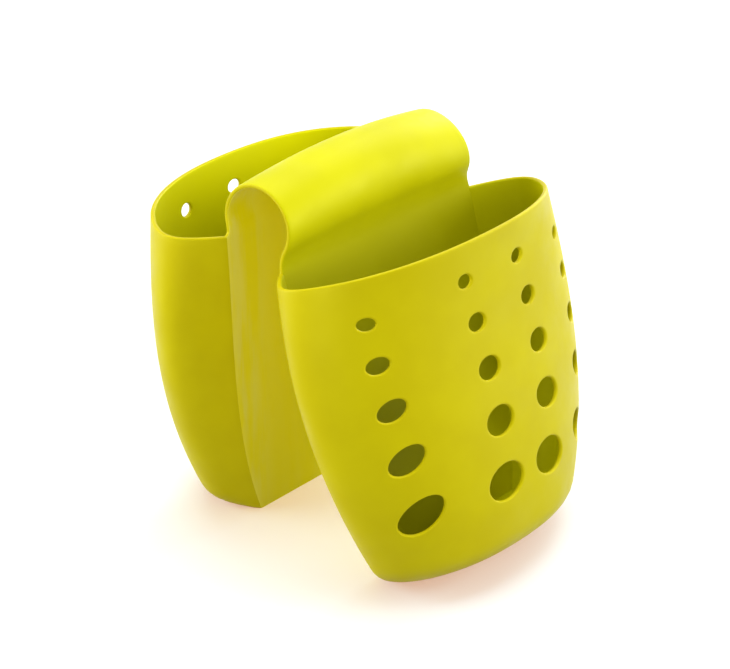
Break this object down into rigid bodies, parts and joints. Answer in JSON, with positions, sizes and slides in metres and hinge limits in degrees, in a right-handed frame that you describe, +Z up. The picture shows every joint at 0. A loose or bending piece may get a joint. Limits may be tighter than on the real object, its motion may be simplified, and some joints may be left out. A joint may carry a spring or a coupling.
{
  "type": "kitchen sink caddy",
  "caption": "Soft sink caddy: belly-shaped pockets with drain holes, joined by an arched bridge that hangs over a sink divider.",
  "frame": {"origin": "centre of the whole caddy's bounding box, on the ground it stands on", "axes": "+X from the rear pocket towards the splayed front pocket, +Y along the bridge's ridge, +Z up"},
  "size_m": [0.1824, 0.1572, 0.1719],
  "materials": {
    "soft_moulding": "satin chartreuse thermoplastic rubber"
  },
  "bodies": {
    "bridge": {"bridge": "soft_moulding"},
    "rear_pocket": {"rear_inner_panel": "soft_moulding", "rear_belly_wall": "soft_moulding", "rear_floor": "soft_moulding"},
    "front_pocket": {"front_inner_panel": "soft_moulding", "front_belly_wall": "soft_moulding", "front_floor": "soft_moulding"}
  },
  "joints": [
    {"name": "rear_neck", "type": "hinge", "parent": "bridge", "child": "rear_pocket", "pos_m": [-0.02825, 0, 0.141], "axis": [0, 1, 0], "range_deg": [-4, 40], "stiffness_Nm_per_rad": 2},
    {"name": "front_neck", "type": "hinge", "parent": "bridge", "child": "front_pocket", "pos_m": [0.0038, 0, 0.13456], "axis": [0, -1, 0], "range_deg": [-21.8, 22.2], "stiffness_Nm_per_rad": 2}
  ]
}
